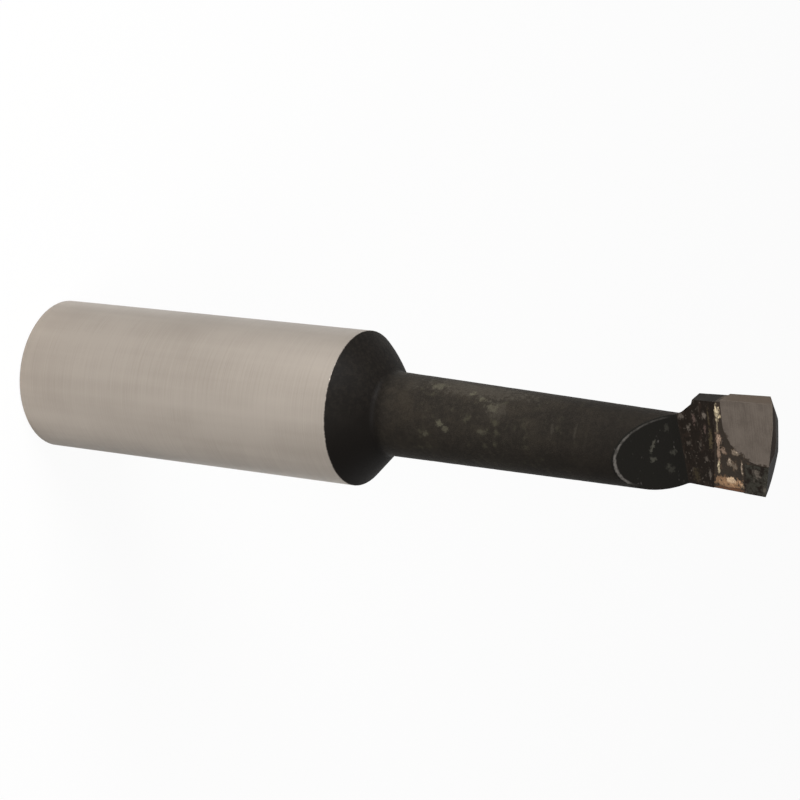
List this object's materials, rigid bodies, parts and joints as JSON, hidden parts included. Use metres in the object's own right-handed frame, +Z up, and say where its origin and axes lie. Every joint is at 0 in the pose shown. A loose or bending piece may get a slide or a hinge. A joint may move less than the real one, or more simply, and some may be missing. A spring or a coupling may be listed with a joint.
{
  "type": "boring bar",
  "caption": "Solid boring bar with a round ground shank, a slim tapered neck and a milled head that carries a brazed carbide tip.",
  "frame": {"origin": "centre of the shank's rear end, which the bar stands on", "axes": "+Z up the shank's axis to the cutting end, cutting corner towards -X, rake face towards -Y"},
  "size_m": [0.0158, 0.0158, 0.0825],
  "materials": {
    "tool_steel": "shank ground bright, neck and head black oxide",
    "carbide": "satin ground sintered carbide, grey-brown",
    "filler": "dull silver-brass brazing alloy"
  },
  "bodies": {
    "root": {"bar": "tool_steel", "carbide_tip": "carbide", "braze": "filler"}
  },
  "joints": []
}
